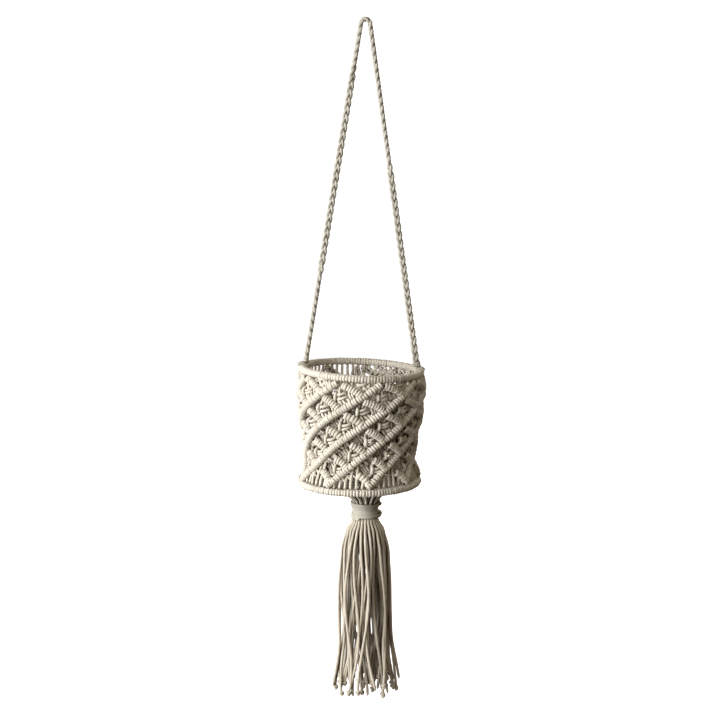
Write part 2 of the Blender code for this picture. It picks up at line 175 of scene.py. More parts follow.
class CordBundle:
    """Gathers cords as skinned rings and makes one mesh of them.

    The UV map holds the run along each cord in millimetres and the turn round it from 0 to 1, which
    is what the cord materials read.
    """

    def __init__(self, sides: int = 8) -> None:
        """Start an empty bundle whose cords have this many sides."""
        self.sides = sides
        self.groups: list[tuple[np.ndarray, np.ndarray]] = []

    def add_rings(self, rings: np.ndarray, paths: np.ndarray) -> None:
        """Add ready rings.

        Args:
            rings: Ring corners, shaped (cords, stations, sides, 3).
            paths: The cords' centre lines, shaped (cords, stations, 3).
        """
        self.groups.append((rings, run_along(paths) / MM))

    def add_paths(self, paths: np.ndarray, radius: float | np.ndarray) -> None:
        """Add round cords along centre lines.

        Args:
            paths: Centre lines, shaped (cords, stations, 3).
            radius: One radius, or radii that broadcast to (cords, stations).
        """
        tangents = unit(np.gradient(paths, axis=1))
        helper = np.where(np.abs(tangents[:, :1, 2:3]) < 0.8, [[[0, 0, 1.0]]], [[[1.0, 0, 0]]])
        normal = unit(np.cross(helper[:, 0], tangents[:, 0]))
        normals = []
        for station in range(paths.shape[1]):
            tangent = tangents[:, station]
            normal = unit(normal - np.sum(normal * tangent, axis=1, keepdims=True) * tangent)
            normals.append(normal)
        across = np.stack(normals, axis=1)
        self.add_sections(paths, across, np.cross(tangents, across), radius, radius)

    def add_sections(
        self,
        paths: np.ndarray,
        across: np.ndarray,
        through: np.ndarray,
        half_width: float | np.ndarray,
        half_depth: float | np.ndarray,
    ) -> None:
        """Add cords whose oval section has known directions.

        Args:
            paths: Centre lines, shaped (cords, stations, 3).
            across: Direction of the section's width at each station.
            through: Direction of its depth at each station.
            half_width: Half the width, one number or shaped (cords, stations).
            half_depth: Half the depth, in the same way.
        """
        angle = TURN * np.arange(self.sides) / self.sides
        shape = paths.shape[:2]
        wide = np.broadcast_to(half_width, shape)[..., None, None]
        deep = np.broadcast_to(half_depth, shape)[..., None, None]
        rings = (
            paths[:, :, None]
            + across[:, :, None] * wide * np.cos(angle)[None, None, :, None]
            + through[:, :, None] * deep * np.sin(angle)[None, None, :, None]
        )
        self.add_rings(rings, paths)

    def build(self, name: str) -> bpy.types.Object:
        """Make the mesh object.

        Args:
            name: The piece's name.

        Returns:
            The new object, linked to the scene.
        """
        corners, loops, starts, maps = [], [], [], []
        base = 0
        loop_base = 0
        for rings, run in self.groups:
            cords, stations, sides, _ = rings.shape
            centres = rings.mean(axis=2)
            first = centres[:, 0] - CAP_BULGE * (centres[:, 1] - centres[:, 0])
            last = centres[:, -1] + CAP_BULGE * (centres[:, -1] - centres[:, -2])
            ids = base + np.arange(cords * stations * sides).reshape(cords, stations, sides)
            corners += [rings.reshape(-1, 3), first, last]
            ends = base + cords * stations * sides + np.arange(2 * cords).reshape(2, cords)
            base = int(ends[-1, -1]) + 1
            turned = np.roll(ids, -1, axis=2)
            quads = np.stack([ids[:, :-1], turned[:, :-1], turned[:, 1:], ids[:, 1:]], axis=-1)
            turn_low = np.broadcast_to(np.arange(sides) / sides, ids[:, :-1].shape)
            turn_high = turn_low + 1.0 / sides
            low = np.broadcast_to(run[:, :-1, None], turn_low.shape)
            high = np.broadcast_to(run[:, 1:, None], turn_low.shape)
            run_map = np.stack([low, low, high, high], axis=-1)
            turn_map = np.stack([turn_low, turn_high, turn_high, turn_low], axis=-1)
            loops.append(quads.reshape(-1))
            maps.append(np.stack([run_map.reshape(-1), turn_map.reshape(-1)], axis=-1))
            starts.append(loop_base + 4 * np.arange(quads.size // 4))
            loop_base += quads.size
            for row, side_ids, flip in ((0, ids[:, 0], True), (1, ids[:, -1], False)):
                after = np.roll(side_ids, -1, axis=1)
                middle = np.broadcast_to(ends[row][:, None], side_ids.shape)
                pair = (after, side_ids) if flip else (side_ids, after)
                fan = np.stack([pair[0], pair[1], middle], axis=-1)
                end_run = np.broadcast_to(run[:, -1 * (not flip)][:, None, None], fan.shape)
                turn = np.broadcast_to((np.arange(sides) / sides)[None, :, None], fan.shape)
                loops.append(fan.reshape(-1))
                maps.append(np.stack([end_run.reshape(-1), turn.reshape(-1)], axis=-1))
                starts.append(loop_base + 3 * np.arange(fan.size // 3))
                loop_base += fan.size
        return mesh_object(
            name,
            np.concatenate(corners),
            np.concatenate(loops),
            np.concatenate(starts),
            np.concatenate(maps),
        )


def mesh_object(
    name: str, corners: np.ndarray, loops: np.ndarray, starts: np.ndarray, uv: np.ndarray
) -> bpy.types.Object:
    """Make a smooth mesh object from flat arrays.

    Args:
        name: Name of the object and its mesh.
        corners: Corner positions, shaped (corners, 3).
        loops: Corner index of each face corner.
        starts: First face corner of each face.
        uv: UV of each face corner.

    Returns:
        The object, linked to the scene.
    """
    mesh = bpy.data.meshes.new(name)
    mesh.vertices.add(len(corners))
    mesh.vertices.foreach_set("co", corners.astype(np.float32).ravel())
    mesh.loops.add(len(loops))
    mesh.loops.foreach_set("vertex_index", loops.astype(np.int32))
    mesh.polygons.add(len(starts))
    mesh.polygons.foreach_set("loop_start", starts.astype(np.int32))
    mesh.update(calc_edges=True)
    layer = mesh.uv_layers.new(name="cord_run")
    layer.uv.foreach_set("vector", uv.astype(np.float32).ravel())
    mesh.validate()
    mesh.shade_smooth()
    piece = bpy.data.objects.new(name, mesh)
    bpy.context.scene.collection.objects.link(piece)
    return piece


# ---------------------------------------------------------------------------------------------
# Finishes
# ---------------------------------------------------------------------------------------------


def linear_colour(code: str) -> tuple[float, float, float, float]:
    """Turn an sRGB hex code into a linear colour with full alpha."""
    values = [int(code[place : place + 2], 16) / 255.0 for place in (1, 3, 5)]
    bright = [v / 12.92 if v <= 0.04045 else ((v + 0.055) / 1.055) ** 2.4 for v in values]
    return (bright[0], bright[1], bright[2], 1.0)


def add_node(
    tree: bpy.types.NodeTree, kind: str, settings: dict | None = None, links: dict | None = None
) -> bpy.types.Node:
    """Add a shader node.

    Args:
        tree: The node tree to add to.
        kind: The node's type name.
        settings: Attribute names to values, and input names or numbers to constants.
        links: Input names or numbers to the output sockets that feed them.

    Returns:
        The new node.
    """
    node = tree.nodes.new(kind)
    for key, value in (settings or {}).items():
        if isinstance(key, str) and hasattr(node, key):
            setattr(node, key, value)
        else:
            node.inputs[key].default_value = value
    for key, socket in (links or {}).items():
        tree.links.new(socket, node.inputs[key])
    return node


def new_material(name: str) -> tuple[bpy.types.Material, bpy.types.NodeTree]:
    """Make an empty node material and return it with its tree."""
    material = bpy.data.materials.new(name)
    material.use_nodes = True
    material.node_tree.nodes.clear()
    return material, material.node_tree


def add_math(
    tree: bpy.types.NodeTree, operation: str, links: dict, constants: dict | None = None
) -> bpy.types.NodeSocket:
    """Add a maths node and return its result."""
    settings = {"operation": operation, **(constants or {})}
    return add_node(tree, "ShaderNodeMath", settings, links).outputs[0]


def add_share(
    tree: bpy.types.NodeTree, value: bpy.types.NodeSocket, low: float, high: float
) -> bpy.types.NodeSocket:
    """Add a node that turns the values from low to high into 0 to 1, and return its result."""
    settings = {"From Min": low, "From Max": high, "To Min": 0.0, "To Max": 1.0}
    return add_node(tree, "ShaderNodeMapRange", settings, {"Value": value}).outputs["Result"]


def add_surface(tree: bpy.types.NodeTree, settings: dict, links: dict | None = None) -> None:
    """Add the surface shader and the material's output."""
    shader = add_node(tree, "ShaderNodeBsdfPrincipled", settings, links)
    add_node(tree, "ShaderNodeOutputMaterial", links={"Surface": shader.outputs["BSDF"]})


@dataclass(frozen=True)
class CottonCord:
    """Natural cotton cord, twisted from a few strands and undyed.

    The eye sees a matt, slightly warm cream with soft twist lines, a woolly nap that catches light
    at the edges, and slow changes of tone from one stretch of cord to the next. The colour also
    carries painted shade: a little darker in the grooves between strands, and darker and browner
    where other cords lie close.
    """

    name: str
    # Colours of the cord: the deep one is painted shade in the grooves between strands, and both also mix
    # with slow random changes of tone
    bright: str = "#DBD6CA"
    deep: str = "#CBC3B2"
    # Painted shade: the colour that spots fall to where other cords close them in, and how near those cords
    # have to lie
    crevice_painted_shade: str = "#85715A"
    painted_shade_reach_mm: float = 9.0
    # Share of open air round a spot above which it has none of that painted shade
    unshaded_from: float = 0.55
    strands: int = 3
    # One full turn of the twist
    lay_mm: float = 14.0
    # Depth of the grooves between strands, kept shallow so that a cord reads as one round cord
    groove_mm: float = 0.14
    # Width of a bundle of fibres
    fibre_mm: float = 0.5
    roughness: float = 0.92
    nap: float = 0.15

    def make(self) -> bpy.types.Material:
        """Build the material."""
        material, tree = new_material(self.name)
        where = add_node(tree, "ShaderNodeTexCoord")
        split = add_node(tree, "ShaderNodeSeparateXYZ", links={0: where.outputs["UV"]})
        turned, around = split.outputs["X"], split.outputs["Y"]
        run = add_math(tree, "MULTIPLY", {0: turned}, {1: TURN / self.lay_mm})
        phase = add_math(tree, "MULTIPLY_ADD", {0: around, 2: run}, {1: TURN * self.strands})
        strand = add_share(tree, add_math(tree, "SINE", {0: phase}), -1.0, 0.4)
        along = add_node(
            tree,
            "ShaderNodeMapping",
            {"Scale": (0.25 / self.fibre_mm, 12.0 / self.fibre_mm, 1.0)},
            {"Vector": where.outputs["UV"]},
        )
        fibres = add_node(
            tree,
            "ShaderNodeTexNoise",
            {"Scale": 1.0, "Detail": 3.0, "Roughness": 0.6},
            {"Vector": along.outputs["Vector"]},
        )
        height = add_math(tree, "MULTIPLY_ADD", {0: fibres.outputs["Fac"], 2: strand}, {1: 0.35})
        bump = add_node(
            tree,
            "ShaderNodeBump",
            {"Strength": 0.9, "Distance": self.groove_mm * MM},
            {"Height": height},
        )
        slow = add_node(
            tree,
            "ShaderNodeTexNoise",
            {"Scale": 55.0, "Detail": 2.0, "Roughness": 0.5},
            {"Vector": where.outputs["Object"]},
        )
        # Colour tone: darker in the grooves between strands as painted shade, plus the cord's own slow
        # random tone
        tone = add_math(tree, "MULTIPLY_ADD", {0: strand, 2: slow.outputs["Fac"]}, {1: 0.2})
        colour = add_node(
            tree,
            "ShaderNodeMix",
            {"data_type": "RGBA", 6: linear_colour(self.deep), 7: linear_colour(self.bright)},
            {0: add_share(tree, tone, 0.35, 0.8)},
        )
        # Painted shade: the colour turns darker and browner where the occlusion finds other cords close by
        open_air = add_node(
            tree, "ShaderNodeAmbientOcclusion", {"samples": 6, "Distance": self.painted_shade_reach_mm * MM}
        )
        crevice_shaded_colour = add_node(
            tree,
            "ShaderNodeMix",
            {"data_type": "RGBA", 6: linear_colour(self.crevice_painted_shade)},
            {0: add_share(tree, open_air.outputs["AO"], 0.1, self.unshaded_from), 7: colour.outputs[2]},
        )
        add_surface(
            tree,
            {
                "Roughness": self.roughness,
                "Specular IOR Level": 0.25,
                "Sheen Weight": self.nap,
                "Sheen Roughness": 0.5,
            },
            {"Base Color": crevice_shaded_colour.outputs[2], "Normal": bump.outputs["Normal"]},
        )
        return material


@dataclass(frozen=True)
class DrawnSteelWire:
    """Drawn steel wire of the rings: a dull grey metal with fine draw lines round the ring."""

    name: str = "drawn steel wire"
    colour: str = "#B4B0A8"
    line_mm: float = 0.3
    roughness: float = 0.38

    def make(self) -> bpy.types.Material:
        """Build the material."""
        material, tree = new_material(self.name)
        where = add_node(tree, "ShaderNodeTexCoord")
        lines = add_node(
            tree,
            "ShaderNodeTexNoise",
            {"Scale": 1.0 / (self.line_mm * MM), "Detail": 2.0},
            {"Vector": where.outputs["Object"]},
        )
        rough = add_node(
            tree,
            "ShaderNodeMapRange",
            {"To Min": self.roughness - 0.08, "To Max": self.roughness + 0.12},
            {"Value": lines.outputs["Fac"]},
        )
        add_surface(
            tree,
            {"Base Color": linear_colour(self.colour), "Metallic": 1.0},
            {"Roughness": rough.outputs["Result"]},
        )
        return material


@dataclass(frozen=True)
class MattBackdrop:
    """Matt white studio paper: even, bright and without a pattern of its own."""

    name: str = "matt studio paper"
    colour: str = "#FFFFFF"
    glow: float = 1.0

    def make(self) -> bpy.types.Material:
        """Build the material."""
        material, tree = new_material(self.name)
        colour = linear_colour(self.colour)
        glow = {"Emission Color": colour, "Emission Strength": self.glow}
        add_surface(tree, {"Base Color": colour, "Roughness": 1.0, **glow})
        return material


@dataclass
class Palette:
    """The planter's materials, made once and shared."""

    made: dict[Slot, bpy.types.Material] = field(default_factory=dict)
    wound: bpy.types.Material | None = None

    def __post_init__(self) -> None:
        """Build every material."""
        # Every cord finish carries painted shade between cords; the net's and the tassel's is darker and
        # browner, and the tassel's reaches furthest
        self.made = {
            Slot.PLAIT: CottonCord(
                "plaited cotton cord", bright="#BDB9AE", deep="#AAA597", groove_mm=0.2
            ).make(),
            Slot.HITCH: CottonCord("hitched cotton cord", unshaded_from=0.44).make(),
            Slot.NET: CottonCord("knotted cotton cord", crevice_painted_shade="#5E452B", unshaded_from=0.56).make(),
            Slot.TASSEL: CottonCord(
                "hanging cotton cord",
                bright="#D3CBBB",
                deep="#C0B5A1",
                crevice_painted_shade="#3A2411",
                painted_shade_reach_mm=20.0,
                unshaded_from=0.76,
            ).make(),
            Slot.WIRE: DrawnSteelWire().make(),
        }
        # Cord wound tight round the neck: smoother, and a darker, greyer cream than the other cords
        self.wound = CottonCord(
            "wound cotton cord", bright="#BFBBAF", deep="#B2AD9F", groove_mm=0.08, painted_shade_reach_mm=4.0
        ).make()

    def dress(
        self, piece: bpy.types.Object, slot: Slot, finish: bpy.types.Material | None = None
    ) -> None:
        """Give a piece its material: the slot's usual one, or the finish given instead.

        Args:
            piece: The piece to dress.
            slot: The slot that the finish belongs to.
            finish: A material to use instead of the slot's usual one.
        """
        piece.data.materials.clear()
        piece.data.materials.append(finish or self.made[slot])


# ---------------------------------------------------------------------------------------------
# The wall that the net lies on
# ---------------------------------------------------------------------------------------------


@dataclass
class Wall:
    """The basket's wall between its two rings, as a surface to lay cords on.

    Angles are in degrees from the front, growing towards +X. Height is 0 at the bottom ring's centre
    line and 1 at the top ring's. Depth is the distance out from the wall's middle.
    """

    top_z: float = 0.0
    bottom_z: float = 0.0
    top_shift: float = 0.0
    bottom_shift: float = 0.0
    ring_radius: float = 0.0
    wire_radius: float = 1.5 * MM
    mouth_lean: float = math.tan(math.radians(2.6))
    # Distances from the middle between which the bottom ring's shift takes hold
    fade_from: float = 20.0 * MM
    fade_to: float = 75.0 * MM
    # Radius of the wall's middle at each height
    shape: tuple[tuple[float, float], ...] = (
        (0.0, 80.5 * MM), (0.08, 77.0 * MM), (0.19, 71.5 * MM), (0.34, 72.5 * MM),
        (0.52, 77.5 * MM), (0.80, 82.0 * MM), (1.0, 80.5 * MM),
    )

    def __post_init__(self) -> None:
        """Read the rings' places from the frame."""
        top_low, top_high = (np.array(corner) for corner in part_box("top_ring"))
        low, high = (np.array(corner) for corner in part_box("bottom_ring"))
        self.top_z = float(0.5 * (top_low[2] + top_high[2]))
        self.bottom_z = float(0.5 * (low[2] + high[2]))
        self.top_shift = float(0.5 * (top_low[0] + top_high[0]))
        self.bottom_shift = float(0.5 * (low[0] + high[0]))
        self.ring_radius = float(0.5 * (high[1] - low[1])) - self.wire_radius

    @property
    def height(self) -> float:
        """Distance between the rings' centre lines."""
        return self.top_z - self.bottom_z

    def settle(self, points: np.ndarray) -> np.ndarray:
        """Move points of the upright basket to where the hanging basket has them."""
        up = np.clip((points[..., 2] - self.bottom_z) / self.height, 0.0, 1.0)
        radius = np.hypot(points[..., 0], points[..., 1])
        reach = (radius - self.fade_from) / (self.fade_to - self.fade_from)
        shift = self.bottom_shift * np.clip(reach, 0.0, 1.0)
        shift = shift + (self.top_shift - self.bottom_shift) * up
        moved = points.copy()
        moved[..., 0] = points[..., 0] + shift
        moved[..., 2] = points[..., 2] - self.mouth_lean * points[..., 0] * up
        return moved

    def radius_at(self, up: np.ndarray) -> np.ndarray:
        """Radius of the wall's middle at a height."""
        return interpolate(self.shape, up)

    def point(self, angle: np.ndarray, up: np.ndarray, depth: np.ndarray) -> np.ndarray:
        """Place points on the wall.

        Args:
            angle: Degrees from the front.
            up: Height from 0 to 1.
            depth: Distance out from the wall's middle.

        Returns:
            Points with a last axis of 3.
        """
        angle, up, depth = np.broadcast_arrays(np.asarray(angle, float), up, depth)
        radius = self.radius_at(up) + depth
        height = self.bottom_z + up * self.height
        return self.settle(round_points(radius, np.radians(angle), height))

    def offset(self, angle: np.ndarray, up: np.ndarray, moves: np.ndarray) -> np.ndarray:
        """Place points that are given in millimetres from a spot on the wall.

        Args:
            angle: Degrees of each spot.
            up: Height of each spot.
            moves: Right, up and out in millimetres, shaped (spots, points, 3).

        Returns:
            Points shaped (spots, points, 3).
        """
        angle = np.asarray(angle, float)[:, None]
        up = np.asarray(up, float)[:, None]
        radius = self.radius_at(up)
        return self.point(
            angle + np.degrees(moves[..., 0] * MM / radius),
            up + moves[..., 1] * MM / self.height,
            moves[..., 2] * MM,
        )


# ---------------------------------------------------------------------------------------------
# Hitches
# ---------------------------------------------------------------------------------------------


@dataclass(frozen=True)
class HitchRow:
    """A row of double half hitches: cords that each wrap twice round a holding cord or wire."""

    core_radius: float
    cord_radius: float
    spacing: float
    # Where a wrap starts and ends round the core, in degrees: 90 is its outermost point
    first: float = -60.0
    last: float = 240.0
    # How far a wrap leans along the row, and how much nearer the two wraps of one hitch lie
    lean: float = 0.9 * MM
    pairing: float = 0.25 * MM
    stations: int = 11
    # Half a wrap's width as a share of the spacing: above a half, neighbours press together
    crowding: float = 0.56
    # Usual hand-made error of a wrap's place and height, and of its lean as a share
    place_error: float = 0.15 * MM
    height_error: float = 0.18 * MM
    lean_error: float = 0.35
    seed: int = 1

    def wrap_count(self, length: float) -> int:
        """Even number of wraps that fit a length."""
        return 2 * max(1, round(length / self.spacing / 2))

    def lay(self, bundle: CordBundle, line: np.ndarray, outward: np.ndarray, closed: bool) -> None:
        """Wrap a row along a line.

        Args:
            bundle: The bundle that takes the wraps.
            line: Finely spaced points of the core, shaped (points, 3).
            outward: Outward directions at those points.
            closed: Whether the line runs back to its start.
        """
        chance = np.random.default_rng(self.seed)
        if closed:
            line = np.concatenate([line, line[:1]])
            outward = np.concatenate([outward, outward[:1]])
        run = run_along(line)
        count = self.wrap_count(run[-1])
        pitch = run[-1] / count
        places = (np.arange(count) + 0.5) * pitch
        places += np.where(np.arange(count) % 2 == 0, 1, -1) * 0.5 * self.pairing
        places += chance.normal(0.0, self.place_error, count)
        tangent_line = unit(np.gradient(line, axis=0))

        def read(values: np.ndarray) -> np.ndarray:
            """Read values along the line at the wraps' places."""
            return np.stack([np.interp(places, run, values[:, axis]) for axis in range(3)], axis=1)

        centre, tangent, out = read(line), unit(read(tangent_line)), read(outward)
        out = unit(out - np.sum(out * tangent, axis=1, keepdims=True) * tangent)
        side = np.cross(tangent, out)
        angle = np.radians(np.linspace(self.first, self.last, self.stations))[None, :, None]
        spoke = np.cos(angle) * side[:, None] + np.sin(angle) * out[:, None]
        reach = self.core_radius + self.cord_radius
        bulge = reach + chance.normal(0.0, self.height_error, count)[:, None, None]
        slope = self.lean * (1.0 + self.lean_error * chance.normal(size=count))[:, None, None]
        slide = slope * np.linspace(-0.5, 0.5, self.stations)[None, :, None] * 2.0
        paths = centre[:, None] + bulge * spoke + slide * tangent[:, None]
        along = np.broadcast_to(tangent[:, None], spoke.shape)
        bundle.add_sections(paths, along, -spoke, self.crowding * pitch, self.cord_radius)


# ---------------------------------------------------------------------------------------------
# Strap
# ---------------------------------------------------------------------------------------------


@dataclass
class Strap:
    """The three-strand plait over the hook, and its hitches round the top ring."""

    wall: Wall
    nodes: tuple[str, ...] = ("strap_top_bend", "strap_leg_left", "strap_leg_right")
    strand_radius: float = 2.05 * MM
    swing: float = 2.7 * MM
    rise: float = 1.35 * MM
    period: float = 33.0 * MM
    bend_radius: float = 6.0 * MM
    bend_centre_z: float = -3.5 * MM
    step: float = 1.6 * MM
    foot_above_ring: float = 8.0 * MM
    foot_inside_ring: float = 5.0 * MM
    # How far down each leg (0 to 1) the flat plait has turned to which angle: 0 faces the front
    left_turns: tuple[tuple[float, float], ...] = (
        (0.0, 90.0), (0.10, 90.0), (0.19, 0.0), (0.67, 0.0), (0.76, -90.0), (1.0, -90.0)
    )
    right_turns: tuple[tuple[float, float], ...] = ((0.0, 90.0), (0.38, 90.0), (0.46, 0.0), (1.0, 0.0))
    # Ties: three turns round the ring, between these angles, and a short binding above it
    tie_cord: float = 1.8 * MM
    tie_core: float = 4.4 * MM
    tie_first: float = 35.0
    tie_last: float = 205.0
    tie_places: tuple[float, ...] = (-3.6, 0.0, 3.6)
    tie_drift: float = 0.8 * MM
    tie_climb: float = 0.15 * MM
    binding_cord: float = 1.5 * MM
    binding_turns: float = 2.4
    binding_wide: float = 4.2 * MM
    binding_narrow: float = 2.6 * MM
    binding_rise: float = 6.5 * MM

    def foot(self, side: int) -> np.ndarray:
        """Where a leg meets its hitch on the ring. side is -1 or 1."""
        reach = side * (self.wall.ring_radius - self.foot_inside_ring)
        point = self.wall.settle(np.array([reach, 0.0, self.wall.top_z]))
        point[2] += self.foot_above_ring
        return point

    @staticmethod
    def eased(stations: tuple[tuple[float, float], ...], where: np.ndarray) -> np.ndarray:
        """Read angles along a leg, eased between the stations."""
        places, values = np.array(stations).T
        step = np.clip(np.searchsorted(places, where, side="right") - 1, 0, len(places) - 2)
        part = np.clip((where - places[step]) / (places[step + 1] - places[step]), 0.0, 1.0)
        part = part * part * (3 - 2 * part)
        return values[step] + (values[step + 1] - values[step]) * part

    def route(self) -> tuple[np.ndarray, np.ndarray]:
        """Lay the plait's middle line from the left foot over the hook to the right foot.

        Returns:
            The line's points, and the angle that the flat plait has turned to at each.
        """
        centre = np.array([0.0, 0.0, self.bend_centre_z])
        legs = []
        for side in (-1, 1):
            foot = self.foot(side)
            lean = math.atan2(abs(foot[0]) - self.bend_radius, centre[2] - foot[2])
            out = np.array([side * math.cos(lean), 0.0, math.sin(lean)])
            legs.append((foot, lean, centre + out * self.bend_radius))
        (left_foot, left_lean, left_top), (right_foot, right_lean, right_top) = legs
        parts, angles = [], []
        for start, end, turns, rising in (
            (left_foot, left_top, self.left_turns, True),
            (right_top, right_foot, self.right_turns, False),
        ):
            count = int(np.linalg.norm(end - start) / self.step)
            along = np.linspace(0.0, 1.0, count)
            parts.append(start + (end - start) * along[:, None])
            angles.append(self.eased(turns, 1.0 - along if rising else along))
        sweep = np.linspace(math.pi - left_lean, right_lean, 14)[1:-1]
        arc = centre + self.bend_radius * np.stack(
            [np.cos(sweep), np.zeros_like(sweep), np.sin(sweep)], axis=1
        )
        line = np.concatenate([parts[0], arc, parts[1]])
        turned = np.concatenate([angles[0], np.full(len(arc), 90.0), angles[1]])
        return line, turned

    def build(self, palette: Palette) -> None:
        """Lay the three strands and both ties."""
        line, turned = self.route()
        run = run_along(line)
        tangent = unit(np.gradient(line, axis=0))
        depth = np.broadcast_to([0.0, 1.0, 0.0], tangent.shape)
        flat = np.cross(depth, tangent)
        angle = np.radians(turned)[:, None]
        across = flat * np.cos(angle) + depth * np.sin(angle)
        through = depth * np.cos(angle) - flat * np.sin(angle)
        for number, node in enumerate(self.nodes):
            bundle = CordBundle(sides=10)
            phase = (TURN * (run / self.period + number / len(self.nodes)))[:, None]
            path = line + across * self.swing * np.sin(phase)
            path = path + through * self.rise * np.sin(2 * phase)
            bundle.add_paths(path[None], self.strand_radius)
            strand = bundle.build(f"strap_strand_{number + 1}")
            palette.dress(strand, Slot.PLAIT)
            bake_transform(strand)
            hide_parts(node)
            log.info("strap strand %d: %.0f mm", number + 1, run[-1] / MM)
        for side, node in ((-1, "strap_tie_left"), (1, "strap_tie_right")):
            self.build_tie(palette, side, node)

    def build_tie(self, palette: Palette, side: int, node: str) -> None:
        """Hitch the strap's end round the ring, and bind the plait just above it.

        Args:
            palette: The materials.
            side: -1 for the left end and 1 for the right end.
            node: The frame's node that the tie stands for.
        """
        ring = self.wall.settle(np.array([side * self.wall.ring_radius, 0.0, self.wall.top_z]))
        bundle = CordBundle(sides=10)
        reach = self.tie_core + self.tie_cord
        angle = np.radians(np.linspace(self.tie_first, self.tie_last, 15))
        drift = np.linspace(-self.tie_drift, self.tie_drift, len(angle))
        for turn, place in enumerate(self.tie_places):
            east = ring[0] + side * reach * np.cos(angle)
            up = ring[2] + reach * np.sin(angle) + self.tie_climb * turn
            path = np.stack([east, ring[1] + place * MM + drift, up], axis=1)
            bundle.add_paths(path[None], self.tie_cord)
        foot = self.foot(side)
        lean = unit(np.array([0.0, 0.0, self.bend_centre_z]) - foot)
        east = unit(np.cross([0.0, 1.0, 0.0], lean))
        turns = np.linspace(0.0, self.binding_turns * TURN, 40)
        wide = (self.binding_narrow, self.binding_wide)[:: -side]
        coil = (
            foot
            + np.outer(wide[0] * np.cos(turns), east)
            + np.outer(wide[1] * np.sin(turns), [0.0, 1.0, 0.0])
            + np.outer(np.linspace(0.0, self.binding_rise, len(turns)), lean)
        )
        bundle.add_paths(coil[None], self.binding_cord)
        tie = bundle.build(node.replace("strap_tie", "strap_hitch"))
        palette.dress(tie, Slot.PLAIT)
        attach(tie, Body.BASKET.value)
        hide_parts(node)
        log.info("strap hitch on side %d", side)


# ---------------------------------------------------------------------------------------------
# Rings
# ---------------------------------------------------------------------------------------------


@dataclass
class Rings:
    """The two steel rings and the hitches round them."""

    wall: Wall
    wraps: int = 128
    cord_radius: float = 1.85 * MM
    samples: int = 256

    def line(self, up: float) -> tuple[np.ndarray, np.ndarray]:
        """Centre line of a ring at a height of 0 or 1, with its outward directions."""
        turn = np.radians(np.arange(self.samples) * 360.0 / self.samples)
        height = self.wall.bottom_z + up * self.wall.height
        flat = round_points(self.wall.ring_radius, turn, height)
        out = round_points(1.0, turn, 0.0)
        return self.wall.settle(flat), out

    def build(self, palette: Palette) -> None:
        """Wrap both rings and dress their wire."""
        spacing = TURN * self.wall.ring_radius / self.wraps
        for node, up, first, last in (
            ("top_ring", 1.0, 8.0, 352.0),
            ("bottom_ring", 0.0, -172.0, 172.0),
        ):
            row = HitchRow(
                core_radius=self.wall.wire_radius,
                cord_radius=self.cord_radius,
                spacing=spacing,
                first=first,
                last=last,
                lean=0.5 * MM,
                pairing=0.2 * MM,
                stations=14,
                crowding=0.62,
                seed=7 + int(up),
            )
            bundle = CordBundle(sides=8)
            line, out = self.line(up)
            row.lay(bundle, line, out, closed=True)
            piece = bundle.build(f"{node}_hitches")
            palette.dress(piece, Slot.HITCH)
            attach(piece, Body.BASKET.value)
            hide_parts(f"{node}_wrap")
            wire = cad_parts[node]
            palette.dress(wire, Slot.WIRE)
            log.info("%s: %d wraps", node, self.wraps)


# ---------------------------------------------------------------------------------------------
# Net
# ---------------------------------------------------------------------------------------------


@dataclass(frozen=True)
class KnotCord:
    """One cord of a square knot and the cords round it.

    Its route is in millimetres from the upper end of the cross ridge on the knot's lower left: right,
    up and out from the wall's middle.
    """

    route: tuple[tuple[float, float, float], ...]
    radius: float = 1.95 * MM


# The knot itself: an upright loop on its left, and two cords that cross to its right
KNOT = (
    KnotCord(
        ((17.4, -1.4, -4.5), (17.8, 0.2, 0.6), (18.2, 4.2, 2.8), (18.2, 8.2, 0.6), (17.8, 9.8, -4.5)),
        2.2 * MM,
    ),
    KnotCord(
        ((17.0, 6.6, -3.5), (20.4, 6.2, 0.2), (24.0, 6.8, 1.2), (28.0, 8.2, 0.4), (32.0, 11.0, -3.5))
    ),
    KnotCord(
        ((17.0, 2.2, -3.5), (20.4, 1.8, 0.0), (24.4, 2.2, 1.0), (28.4, 3.6, 0.2), (32.4, 5.4, -3.5))
    ),
    KnotCord(
        ((18.5, -0.4, -3.5), (16.0, -3.0, -0.6), (12.8, -4.0, -0.4), (10.0, -2.6, -1.4), (8.0, -0.6, -4.0))
    ),
)
# Cords that leave the knot for the ridge below it
DROPS = (
    KnotCord(
        ((20.0, 0.0, -3.5), (22.6, -2.4, -0.4), (25.4, -5.6, -0.2), (28.0, -9.2, -1.2), (30.0, -12.0, -4.0))
    ),
    KnotCord(
        ((25.0, 0.6, -3.5), (28.0, -1.8, -0.8), (31.0, -4.8, -0.6), (33.6, -7.6, -1.4), (35.6, -9.8, -4.0))
    ),
    KnotCord(
        ((31.0, 1.6, -3.5), (34.0, -0.4, -1.2), (36.8, -2.6, -1.0), (39.6, -5.0, -1.6), (41.6, -7.0, -4.0))
    ),
)
